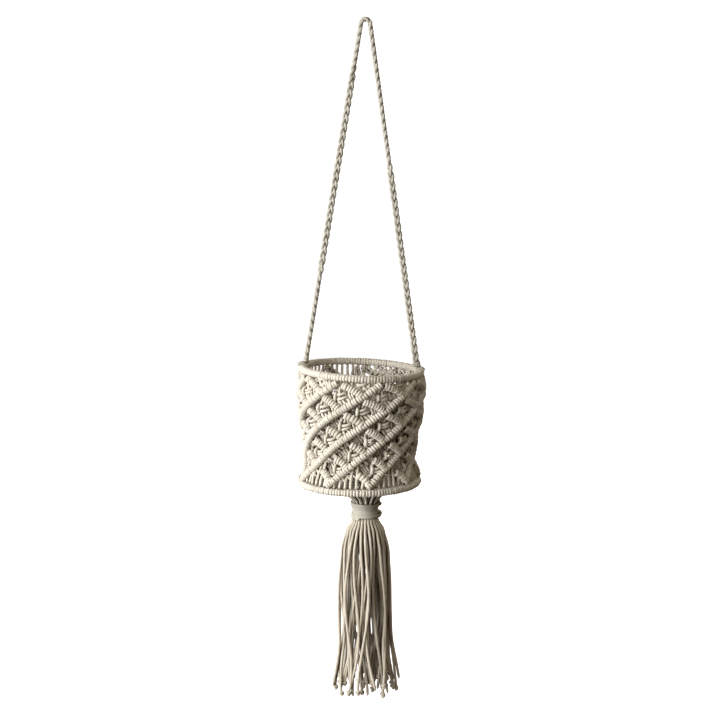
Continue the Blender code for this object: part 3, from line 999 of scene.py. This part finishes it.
# Cords that come to the knot from the ridge and the cross ridge above it
RISES = (
    KnotCord(
        ((17.6, 8.0, -3.5), (18.6, 10.6, -1.4), (19.6, 13.2, -1.2), (20.4, 15.6, -2.2), (21.0, 18.0, -4.5))
    ),
    KnotCord(
        ((22.0, 7.8, -3.5), (24.0, 11.2, -1.6), (25.4, 14.4, -1.4), (26.4, 17.4, -2.2), (27.0, 20.0, -4.5))
    ),
    KnotCord(
        ((28.0, 9.6, -3.5), (29.6, 12.8, -1.8), (30.4, 16.0, -1.8), (30.6, 19.0, -2.6), (30.8, 22.0, -4.5))
    ),
    KnotCord(
        ((36.6, 14.5, -4.0), (35.8, 10.6, -1.8), (36.4, 6.6, -1.6), (38.2, 2.6, -1.8), (40.2, -1.8, -4.0))
    ),
    KnotCord(
        ((42.0, 12.6, -4.0), (40.6, 8.4, -1.8), (41.0, 4.6, -1.6), (43.0, 1.0, -2.0), (45.0, -3.0, -4.0))
    ),
    KnotCord(
        ((47.6, 9.6, -4.0), (46.0, 6.6, -1.8), (46.0, 3.6, -1.6), (47.6, 1.0, -2.0), (49.4, -1.6, -4.0))
    ),
)


@dataclass
class Net:
    """Nine repeats of net: spiral ridges, cross ridges, square knots and the cords between."""

    wall: Wall
    cords: int = 64
    cord_radius: float = 1.9 * MM
    repeats: int = 9
    # Angle at which the first ridge would meet the top ring; the others follow at even steps
    first_ridge: float = 25.0
    # Turn of a ridge from the bottom ring to the top one, and how far it hangs back halfway up
    ridge_turn: float = 143.0
    ridge_bow: float = 4.0
    ridge_low: float = 0.045
    ridge_high: float = 0.958
    ridge_depth: float = 1.9 * MM
    # Degrees by which a ridge wanders to either side of its plan
    ridge_wander: float = 0.5
    # Cross ridges: height of the first one's upper end, distance down to the next, and fall of each
    cross_top: float = 0.941
    cross_step: float = 0.131
    cross_fall: float = 0.080
    cross_count: int = 7
    # Between these angles the strips start one row lower
    open_rear: tuple[float, float] = (150.0, 262.0)
    # Share of the way from one ridge to the next where a cross ridge starts, low and high on the
    # net, and where it ends
    cross_start_low: float = 0.46
    cross_start_high: float = 0.12
    cross_end: float = 0.95
    # How far a hand-tied end is usually off its place, in degrees and as a share of the height
    hand_angle: float = 0.8
    hand_up: float = 0.005
    # How far a cross ridge bows to the right, in degrees, and up, as a share of the wall's height
    cross_bow: float = 0.5
    cross_arch: float = 0.008
    cross_depth: float = 1.7 * MM
    # Lining: the back of the knots, seen as cords that lie behind the front ones
    lining_depth: float = -8.5 * MM
    lining_cord: float = 2.1 * MM
    lining_starts: tuple[float, ...] = (0.36, 0.50, 0.64, 0.78, 0.92)
    lining_fall: float = 0.155
    lining_low: float = 0.03
    lining_high: float = 0.80
    # Usual error of a cell's place and of one cord's in it, in millimetres right, up and out
    cell_error: tuple[float, float, float] = (0.6, 0.6, 0.18)
    cord_error: tuple[float, float, float] = (0.55, 0.55, 0.33)
    # Height above which no cord of a cell reaches, and how far behind their plan the rises lie
    cell_high: float = 0.965
    rise_sink: float = 1.6
    # Edge cords: heights that they start from, the shortest one, and the longest one
    mouth_up: float = 0.965
    foot_up: float = 0.033
    edge_shortest: float = 0.012
    edge_longest: float = 0.22
    # How far short of a ridge's middle an edge cord stops
    edge_tuck: float = 0.02

    def top_angle(self, strip: float | np.ndarray) -> np.ndarray:
        """Angle at the top ring of the line that lies a number of ridges on from the first."""
        return self.first_ridge + 360.0 / self.repeats * np.asarray(strip, dtype=float)

    def left_to_turn(self, up: np.ndarray) -> np.ndarray:
        """Degrees that a ridge still turns above a height."""
        up = np.asarray(up, dtype=float)
        return self.ridge_turn * (1.0 - up) + self.ridge_bow * np.sin(np.pi * up)

    def angle_at(self, strip: float, up: np.ndarray) -> np.ndarray:
        """Angle at a height of the line that lies a number of ridges on from the first."""
        return self.top_angle(strip) - self.left_to_turn(up)

    def up_at(self, strip: float, angle: np.ndarray) -> np.ndarray:
        """Height at which the line of a strip passes an angle."""
        ups = np.linspace(0.0, 1.0, 401)
        return np.interp(angle, self.angle_at(strip, ups), ups)

    def outward(self, line: np.ndarray) -> np.ndarray:
        """Directions away from the basket's middle at points of a line."""
        middle = 0.5 * (self.wall.top_shift + self.wall.bottom_shift)
        away = line - np.array([middle, 0.0, 0.0])
        away[:, 2] = 0.0
        return unit(away)

    def build(self, palette: Palette) -> None:
        """Lay every repeat."""
        for number in range(self.repeats):
            self.build_ridge(palette, number)
            self.build_repeat(palette, number)
        self.build_edge_cords(palette)

    def build_ridge(self, palette: Palette, number: int) -> None:
        """Lay one spiral ridge of hitches round its holding cord."""
        up = np.linspace(self.ridge_low, self.ridge_high, 160)
        wander = self.ridge_wander * np.sin(9.0 * up + 1.7 * number)
        line = self.wall.point(self.angle_at(number, up) + wander, up, self.ridge_depth)
        row = HitchRow(
            core_radius=1.3 * MM,
            cord_radius=2.0 * MM,
            spacing=3.8 * MM,
            first=-65.0,
            last=245.0,
            lean=-0.6 * MM,
            pairing=0.4 * MM,
            seed=100 + number,
        )
        bundle = CordBundle(sides=8)
        row.lay(bundle, line, self.outward(line), closed=False)
        ridge = bundle.build(f"spiral_ridge_{number + 1}")
        palette.dress(ridge, Slot.HITCH)
        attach(ridge, Body.BASKET.value)
        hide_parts(f"ridge_{number + 1}")
        log.info("spiral ridge %d", number + 1)

    def cross_ends(self, number: int, step: int) -> tuple[float, float, float, float]:
        """Angle and height of both ends of a cross ridge in a strip, each a little off by hand."""
        high = self.cross_top - self.cross_step * step
        low = high - self.cross_fall
        start_share = self.cross_start_low + (self.cross_start_high - self.cross_start_low) * high
        start = float(self.angle_at(number + start_share, high))
        end = float(self.angle_at(number + self.cross_end, low))
        off = np.random.default_rng(900 + 20 * (number % self.repeats) + step).normal(size=4)
        start, end = start + self.hand_angle * off[0], end + self.hand_angle * off[1]
        return start, high + self.hand_up * off[2], end, low + self.hand_up * off[3]

    def cross_line(self, number: int, step: int, count: int) -> tuple[np.ndarray, np.ndarray]:
        """Angle and height along a cross ridge, which arches up and to the right."""
        start, high, end, low = self.cross_ends(number, step)
        part = np.linspace(0.0, 1.0, count)
        arch = np.sin(math.pi * part)
        angle = start + (end - start) * part + self.cross_bow * arch
        up = high + (low - high) * part + self.cross_arch * arch
        return angle, up

    def first_step(self, number: int) -> int:
        """First row of a strip: at the rear the top row is left open, with only upright cords."""
        start = self.cross_ends(number, 0)[0] % 360.0
        return 1 if self.open_rear[0] < start < self.open_rear[1] else 0

    def build_repeat(self, palette: Palette, number: int) -> None:
        """Lay the cross ridges, square knots and floats of the strip below one ridge."""
        crosses = CordBundle(sides=8)
        knots = CordBundle(sides=8)
        floats = CordBundle(sides=8)
        lining = CordBundle(sides=6)
        for step in range(self.first_step(number), self.cross_count):
            angle, up = self.cross_line(number, step, 40)
            line = self.wall.point(angle, up, self.cross_depth)
            row = HitchRow(
                core_radius=1.4 * MM,
                cord_radius=2.0 * MM,
                spacing=4.0 * MM,
                first=-80.0,
                last=260.0,
                lean=0.5 * MM,
                pairing=0.3 * MM,
                seed=1000 + 20 * number + step,
            )
            row.lay(crosses, line, self.outward(line), closed=False)
            chance = np.random.default_rng(5000 + 40 * number + step)
            self.lay_cell(knots, KNOT if step else KNOT[2:], number, step, chance)
            self.lay_cell(floats, DROPS, number, step, chance)
            if step:
                self.lay_cell(floats, RISES, number, step, chance, sink=self.rise_sink)
            self.lay_lining(lining, number, step, chance)
        for bundle, name, slot, node in (
            (crosses, "cross_ridges", Slot.HITCH, None),
            (knots, "square_knots", Slot.NET, None),
            (floats, "net_cords", Slot.NET, f"net_panel_{number + 1}"),
            (lining, "knot_backs", Slot.NET, None),
        ):
            piece = bundle.build(f"{name}_{number + 1}")
            palette.dress(piece, slot)
            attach(piece, Body.BASKET.value)
            if node:
                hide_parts(node)
        count = self.cross_count - self.first_step(number)
        log.info("repeat %d: %d cross ridges", number + 1, count)

    def lay_cell(
        self,
        bundle: CordBundle,
        cords: tuple[KnotCord, ...],
        number: int,
        step: int,
        chance: np.random.Generator,
        sink: float = 0.0,
    ) -> None:
        """Lay cords of the cell above one cross ridge, each a little off its plan.

        Args:
            bundle: The bundle that takes the cords.
            cords: The cords' plans.
            number: The strip.
            step: The cross ridge at the cell's lower left.
            chance: Source of the hand-made variation.
            sink: How far behind their plan the cords lie, in millimetres.
        """
        angle, up, _, _ = self.cross_ends(number, step)
        moves = np.array([cord.route for cord in cords]) - [0.0, 0.0, sink]
        slide = chance.normal(size=(1, 1, 3)) * self.cell_error
        moves = moves + slide + chance.normal(size=(len(cords), 1, 3)) * self.cord_error
        controls = self.wall.offset(np.full(len(cords), angle), np.full(len(cords), up), moves)
        limit = self.wall.bottom_z + self.cell_high * self.wall.height
        limit = limit - self.wall.mouth_lean * controls[..., 0]
        controls[..., 2] = np.minimum(controls[..., 2], limit)
        radius = np.array([cord.radius for cord in cords])[:, None]
        bundle.add_paths(curve_through(controls, 13), radius)

    def lay_lining(
        self, bundle: CordBundle, number: int, step: int, chance: np.random.Generator
    ) -> None:
        """Lay the backs of one cell's knots: cords that cross from ridge to ridge further in."""
        high = self.cross_top - self.cross_step * step
        controls = []
        for start in self.lining_starts:
            above = high + start * self.cross_step
            if above > self.lining_high:
                continue
            part = np.linspace(0.0, 1.0, 5)
            up = above - self.lining_fall * part
            strip = number + 0.05 + 0.9 * part
            angle = self.angle_at(strip, up) + chance.normal(0.0, 0.5)
            depth = self.lining_depth + chance.normal(0.0, 0.4) * MM
            controls.append(self.wall.point(angle, np.maximum(up, self.lining_low), depth))
        if controls:
            bundle.add_paths(curve_through(np.array(controls), 9), self.lining_cord)

    def build_edge_cords(self, palette: Palette) -> None:
        """Lay the cords between each ring and the first ridge or cross ridge that they reach."""
        chance = np.random.default_rng(77)
        rows = (("mouth_cords", self.mouth_up, -1), ("foot_cords", self.foot_up, 1))
        for name, ring_up, towards in rows:
            controls = []
            for cord in range(self.cords):
                angle = 360.0 * (cord + 0.5) / self.cords
                span = self.nearest(angle, ring_up, towards) - ring_up
                if abs(span) < self.edge_shortest:
                    continue
                drift = chance.normal(0.6, 0.9) * math.copysign(1.0, span)
                part = np.linspace(0.0, 1.0, 5)
                bow = np.sin(math.pi * part)
                depth = (-1.6 + 1.0 * bow + chance.normal(0.0, 0.3)) * MM
                up = ring_up + span * part
                controls.append(self.wall.point(angle + drift * part, up, depth))
            bundle = CordBundle(sides=8)
            bundle.add_paths(curve_through(np.array(controls), 11), self.cord_radius)
            piece = bundle.build(name)
            palette.dress(piece, Slot.NET)
            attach(piece, Body.BASKET.value)
            log.info("%s: %d", name, len(controls))

    def nearest(self, angle: float, ring_up: float, towards: int) -> float:
        """Height of the first ridge or cross ridge that a cord meets on its way from a ring.

        Args:
            angle: Degrees of the cord.
            ring_up: Height that it starts from.
            towards: 1 to look up and -1 to look down.

        Returns:
            The height that the cord ends at.
        """
        found = ring_up + towards * self.edge_longest
        for strip in range(-self.repeats, 2 * self.repeats):
            lowest = float(self.angle_at(strip, self.ridge_low))
            highest = float(self.angle_at(strip, self.ridge_high))
            if lowest <= angle <= highest:
                up = float(self.up_at(strip, angle)) - towards * self.edge_tuck
                if towards * (up - ring_up) > 0 and towards * (found - up) > 0:
                    found = up
            for step in (self.first_step(strip), self.cross_count - 1):
                start, high, end, low = self.cross_ends(strip, step)
                if start <= angle <= end:
                    up = high + (low - high) * (angle - start) / (end - start)
                    if towards * (up - ring_up) > 0 and towards * (found - up) > 0:
                        found = up
        return found


# ---------------------------------------------------------------------------------------------
# Base, neck and tassel
# ---------------------------------------------------------------------------------------------


@dataclass
class Base:
    """The base cords under the pot and the cord wrapped round them at the neck."""

    wall: Wall
    cords: int = 64
    cord_radius: float = 1.9 * MM
    # Distance from the middle and height of a base cord on its way in; the last two are in the neck
    profile: tuple[tuple[float, float], ...] = (
        (80.5 * MM, -615.0 * MM), (78.5 * MM, -618.6 * MM), (66.0 * MM, -621.0 * MM),
        (50.0 * MM, -624.5 * MM), (36.0 * MM, -628.5 * MM), (27.0 * MM, -633.5 * MM),
        (19.6 * MM, -640.0 * MM), (15.5 * MM, -647.0 * MM), (14.5 * MM, -660.0 * MM),
    )
    # Order of four neighbouring cords from the outer layer inwards
    layers: tuple[int, ...] = (0, 2, 1, 3)
    # How far the cords that end nearer the middle rise above the outer layer, point by point
    layering: tuple[float, ...] = (0.0, 0.0, 0.0, 0.3, 1.4, 3.6, 6.0, 8.0, 8.0)
    # How much nearer the middle a risen cord lies, and usual error of its angle in radians
    layer_in: float = 0.45
    wander: float = 0.008
    # The wrapping: distance out after each turn, and the flat oval of its cord
    turn_radii: tuple[float, ...] = (19.6, 18.9, 17.2, 16.6, 17.6, 18.7, 18.4)
    turn_height: float = 3.75 * MM
    turn_half_height: float = 2.5 * MM
    turn_half_depth: float = 1.5 * MM
    turn_start: float = 100.0
    turn_sag: float = 0.15 * MM
    neck_top: float = -646.2 * MM
    knot_cord: float = 1.7 * MM
    # Short cords that lock the wrapping's ends: degrees, distance out and height in mm
    locking_knots: tuple[tuple[tuple[float, float, float], ...], ...] = (
        (
            (70, 18.6, -649.0), (78, 20.6, -646.8), (88, 21.4, -648.4),
            (96, 20.4, -651.0), (104, 17.6, -652.5),
        ),
        (
            (66, 17.0, -657.6), (76, 19.6, -658.6), (86, 20.6, -661.0),
            (96, 20.4, -664.0), (104, 17.6, -666.0),
        ),
        (
            (98, 17.4, -659.0), (92, 20.8, -660.0), (84, 21.6, -662.6),
            (76, 20.4, -665.2), (68, 17.4, -666.4),
        ),
    )

    def build(self, palette: Palette) -> None:
        """Lay the base cords and wrap the neck."""
        chance = np.random.default_rng(31)
        controls = []
        for cord in range(self.cords):
            layer = self.layers[cord % len(self.layers)]
            turn = TURN * (cord + 0.5) / self.cords
            wander = chance.normal(0.0, self.wander, len(self.profile))
            wander[:2] = 0.0
            radius, height = np.array(self.profile).T
            lift = 0.5 * layer * np.array(self.layering) * MM
            radius[5:] -= self.layer_in * lift[5:]
            controls.append(self.wall.settle(round_points(radius, turn + wander, height + lift)))
        bundle = CordBundle(sides=8)
        bundle.add_paths(curve_through(np.array(controls), 34), self.cord_radius)
        piece = bundle.build("base_cords")
        palette.dress(piece, Slot.NET)
        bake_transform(piece)
        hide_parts("base_web", "throat_cords")
        log.info("base cords: %d", self.cords)
        self.build_wrapping(palette)

    def build_wrapping(self, palette: Palette) -> None:
        """Wind the neck wrapping and lay the short cords that lock its ends."""
        turns = len(self.turn_radii) - 1
        along = np.linspace(0.0, turns - 0.35, 320)
        radius = interpolate([(float(n), r * MM) for n, r in enumerate(self.turn_radii)], along)
        angle = TURN * along + math.radians(self.turn_start)
        sag = self.turn_sag * np.sin(angle + 0.8)
        path = round_points(radius, angle, self.neck_top - along * self.turn_height + sag)
        out = unit(path * [1.0, 1.0, 0.0])
        upright = np.broadcast_to([0.0, 0.0, 1.0], out.shape)
        bundle = CordBundle(sides=10)
        bundle.add_sections(
            path[None], upright[None], -out[None], self.turn_half_height, self.turn_half_depth
        )
        for route in self.locking_knots:
            degrees, distance, height = np.array(route).T
            controls = round_points(distance * MM, np.radians(degrees), height * MM)
            bundle.add_paths(curve_through(controls[None], 15), self.knot_cord)
        piece = bundle.build("neck_turns")
        palette.dress(piece, Slot.HITCH, palette.wound)
        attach(piece, Body.NECK.value)
        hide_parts("neck_wrapping")
        log.info("neck wrapping: %d turns", turns)


class End(Enum):
    """How a tassel cord ends."""

    KNOT = "knot"
    BARE = "bare"


@dataclass
class Tassel:
    """The 64 hanging cord ends below the neck, in an outer layer and three inner ones."""

    outer_cords: int = 27
    frame_step: int = 3
    declared: int = 39
    inner_layers: tuple[tuple[int, float], ...] = ((20, 0.78), (12, 0.5), (5, 0.22))
    radius: float = 2.0 * MM
    exit_z: float = -667.0 * MM
    exit_radius: float = 15.6 * MM
    samples: int = 40
    sway: float = 13.0
    wobble: float = 1.5 * MM
    end_spread: float = 9.0 * MM
    # How much nearer the middle the second and third layers of outer cords hang
    layer_step: float = 3.2 * MM
    # Route of an outer tassel cord, from the neck to its end: height and distance from the middle
    route: tuple[tuple[float, float], ...] = (
        (-684.0 * MM, 24.5 * MM), (-707.0 * MM, 31.5 * MM), (-732.0 * MM, 34.0 * MM),
        (-758.0 * MM, 36.0 * MM), (-810.0 * MM, 37.0 * MM), (-845.0 * MM, 38.0 * MM),
        (-880.0 * MM, 43.0 * MM), (-908.0 * MM, 47.5 * MM),
    )
    # How a cord spreads from the neck to that route: share of the way down, and of exit_radius
    shoulder: tuple[tuple[float, float], ...] = ((0.0, 1.0), (0.35, 1.12), (0.7, 1.35))

    def distance(self, height: np.ndarray) -> np.ndarray:
        """Distance of an outer cord from the tassel's middle at a height."""
        return interpolate(self.route[::-1], height)

    def points(self, number: int, base: float, share: float) -> np.ndarray:
        """Route of one cord.

        Args:
            number: The cord's number, which sets its slow sway and its length.
            base: Degrees of the cord round the tassel.
            share: Distance from the middle, as a share of an outer cord's.

        Returns:
            The route's points, shaped (samples, 3).
        """
        top, bottom = self.route[0][0], self.route[-1][0]
        end = bottom + self.end_spread * math.sin(2.4 * number)
        part = np.linspace(0.0, 1.0, self.samples)
        loose = part * (2.0 - part)
        height = top + (end - top) * part
        angle = np.radians(base + self.sway / share * np.sin(5.0 * part + 1.7 * number) * loose)
        reach = share * self.distance(height)
        reach = reach + self.wobble / share * np.sin(6.5 * part + 2.3 * number) * loose
        if share == 1.0:
            reach = reach - self.layer_step * (number % self.frame_step) * (1 - (1 - part) ** 6)
        hanging = round_points(reach, angle, height)
        drop, wide = np.array(self.shoulder).T
        level = self.exit_z + (top - self.exit_z) * drop
        start = round_points(share * self.exit_radius * wide, math.radians(base), level)
        return np.concatenate([start, hanging])

    @staticmethod
    def knot(path: np.ndarray, radius: float) -> np.ndarray:
        """Loop of an overhand knot round the lower end of a cord."""
        down = unit(path[-1] - path[-4])
        middle = path[-1] - 2.0 * radius * down
        side = unit(np.cross(down, [0.31, 0.95, 0.1]))
        front = np.cross(down, side)
        turn = np.linspace(0.0, 1.25 * TURN, 18)
        reach = 1.2 * radius
        return (
            middle
            + np.outer(reach * np.cos(turn), side)
            + np.outer(reach * np.sin(turn), front)
            + np.outer(np.linspace(-1.1, 1.1, 18) * radius + 0.5 * radius * np.sin(turn), down)
        )

    def build(self, palette: Palette) -> None:
        """Hang every cord: each of the first ones as a piece of its own, and the rest as one piece."""
        plans = [(n, 360.0 * n / self.outer_cords, 1.0) for n in range(self.outer_cords)]
        for layer, (count, share) in enumerate(self.inner_layers):
            for place in range(count):
                turn = 360.0 * (place + 0.37 * (layer + 1)) / count
                plans.append((len(plans), turn, share))
        core = CordBundle(sides=8)
        for number, base, share in plans:
            path = curve_through(self.points(number, base, share)[None], 60)[0]
            end = End.KNOT if number % 5 in (0, 2, 3) else End.BARE
            bundle = CordBundle(sides=9) if number < self.declared else core
            radii = np.full(len(path), self.radius)
            radii[-1] = 0.75 * self.radius
            bundle.add_paths(path[None], radii[None])
            if end is End.KNOT:
                bundle.add_paths(self.knot(path, self.radius)[None], 0.85 * self.radius)
            if bundle is core:
                continue
            name = f"tassel_strand_{number + 1:02d}"
            piece = bundle.build(name)
            self.hang(palette, piece)
            if number < self.outer_cords and number % self.frame_step == 0:
                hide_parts(f"tassel_cord_{number // self.frame_step + 1:02d}")
        inner = core.build("tassel_inner_strands")
        self.hang(palette, inner)
        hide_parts("tassel_core")
        log.info("tassel: %d cords, %d of them declared", len(plans), self.declared)

    def hang(self, palette: Palette, piece: bpy.types.Object) -> None:
        """Dress a piece of the tassel and fix its place into its mesh."""
        palette.dress(piece, Slot.TASSEL)
        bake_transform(piece)


# ---------------------------------------------------------------------------------------------
# Studio
# ---------------------------------------------------------------------------------------------


@dataclass
class Studio:
    """Plain pale room of paper, one big soft light from the left, three weaker ones, the camera."""

    distance: float = 1.79
    lens: float = 66.55
    camera_drop: float = -0.191
    camera_side: float = -0.0072
    pitch: float = 8.2
    floor_z: float = -0.99
    room_radius: float = 5.0
    room_curve: float = 0.8
    room_wall: float = 2.0
    room_sides: int = 48
    # Height that the lights are aimed at, on the vertical under the hook
    aim_z: float = -0.55
    air_colour: str = "#FFE6C4"
    air_strength: float = 0.075

    def build(self) -> None:
        """Set the stage."""
        self.build_stage()
        self.add_light("key", (-2.1, -1.1, -0.2), 2.0, 108.0, "#FCFDFF")
        self.add_light("front", (-0.8, -2.1, 0.55), 0.6, 13.0, "#FFF8EE")
        self.add_light("fill", (1.5, -1.7, 0.25), 0.9, 3.5, "#FFEFD8")
        self.add_light("rear", (1.25, 1.95, 0.2), 1.4, 42.0, "#FFF8EE")
        world = bpy.data.worlds.new("studio air")
        world.use_nodes = True
        shade = world.node_tree.nodes["Background"]
        shade.inputs["Color"].default_value = linear_colour(self.air_colour)
        shade.inputs["Strength"].default_value = self.air_strength
        bpy.context.scene.world = world
        bpy.context.scene.view_settings.view_transform = "Standard"
        self.build_camera()

    def build_stage(self) -> None:
        """Make a round room of paper: a flat floor that curves up into a wall and a dome."""
        flat = self.room_radius - self.room_curve
        profile = [(0.01, 0.0), (flat, 0.0)]
        for angle in np.linspace(0.0, 0.5 * math.pi, 9)[1:]:
            rise = self.room_curve * (1.0 - math.cos(angle))
            profile.append((flat + self.room_curve * math.sin(angle), rise))
        for angle in np.linspace(0.0, 0.49 * math.pi, 9):
            rise = self.room_wall + self.room_radius * math.sin(angle)
            profile.append((self.room_radius * math.cos(angle), rise))
        corners, faces = [], []
        for row, (reach, up) in enumerate(profile):
            for side in range(self.room_sides):
                turn = TURN * side / self.room_sides
                corners.append((reach * math.cos(turn), reach * math.sin(turn), self.floor_z + up))
                if row:
                    after = (side + 1) % self.room_sides
                    low, high = (row - 1) * self.room_sides, row * self.room_sides
                    faces.append((low + side, low + after, high + after, high + side))
        faces.append(tuple(range(self.room_sides)))
        mesh = bpy.data.meshes.new("studio_paper")
        mesh.from_pydata(corners, [], faces)
        mesh.shade_smooth()
        paper = bpy.data.objects.new("studio_paper", mesh)
        bpy.context.scene.collection.objects.link(paper)
        mesh.materials.append(MattBackdrop().make())
        paper.visible_diffuse = False
        paper.visible_glossy = False
        paper.visible_shadow = False

    def add_light(
        self, name: str, place: tuple[float, float, float], size: float, power: float, colour: str
    ) -> None:
        """Add a square soft light that faces the planter."""
        lamp = bpy.data.lights.new(name, "AREA")
        lamp.size = size
        lamp.energy = power
        lamp.color = linear_colour(colour)[:3]
        light = bpy.data.objects.new(name, lamp)
        bpy.context.scene.collection.objects.link(light)
        light.location = place
        aim = np.array([0.0, 0.0, self.aim_z]) - np.array(place)
        light.rotation_euler = (
            math.atan2(math.hypot(aim[0], aim[1]), -aim[2]),
            0.0,
            math.atan2(aim[1], aim[0]) - 0.5 * math.pi,
        )

    def build_camera(self) -> None:
        """Put the camera in front of the planter, looking slightly down."""
        lens = bpy.data.cameras.new("camera")
        lens.lens = self.lens
        lens.sensor_width = 36.0
        camera = bpy.data.objects.new("camera", lens)
        bpy.context.scene.collection.objects.link(camera)
        camera.location = (self.camera_side, -self.distance, self.camera_drop)
        camera.rotation_euler = (math.radians(90.0 - self.pitch), 0.0, 0.0)
        bpy.context.scene.camera = camera


def main() -> None:
    """Build the studio and every piece of the planter."""
    logging.basicConfig(level=logging.INFO, format="%(name)s: %(message)s")
    Studio().build()
    palette = Palette()
    wall = Wall()
    Tassel().build(palette)
    Strap(wall).build(palette)
    Rings(wall).build(palette)
    Net(wall).build(palette)
    Base(wall).build(palette)


if __name__ == "__main__":
    main()
